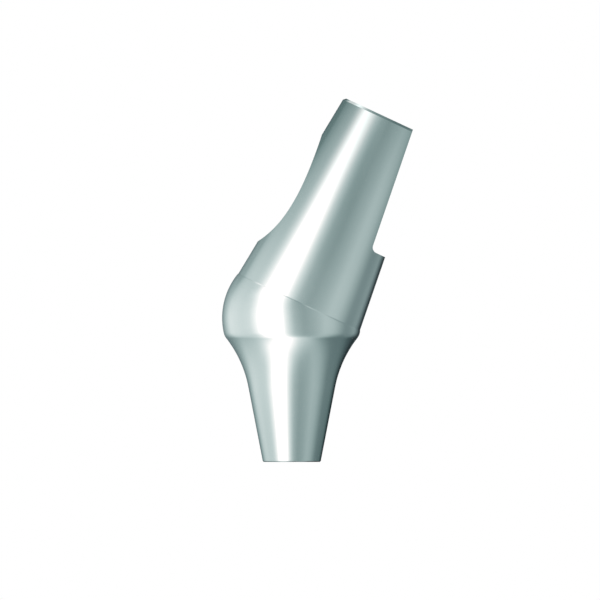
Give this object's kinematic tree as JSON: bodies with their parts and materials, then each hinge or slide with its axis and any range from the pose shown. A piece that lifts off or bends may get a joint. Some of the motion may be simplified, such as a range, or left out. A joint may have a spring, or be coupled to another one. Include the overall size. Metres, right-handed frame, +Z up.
{
  "type": "dental abutment",
  "caption": "Angled dental implant abutment: tapered foot, flared collar, ball elbow and a leaning tapered post with a flat, a ledge and a screw access bore.",
  "frame": {"origin": "centre of the foot's flat end, on the implant's axis", "axes": "+Z up the implant's axis, +X the way the post leans, XZ the plane of symmetry"},
  "size_m": [0.0063, 0.0046, 0.0121],
  "materials": {
    "titanium": "satin"
  },
  "bodies": {
    "root": {"abutment": "titanium"}
  },
  "joints": []
}
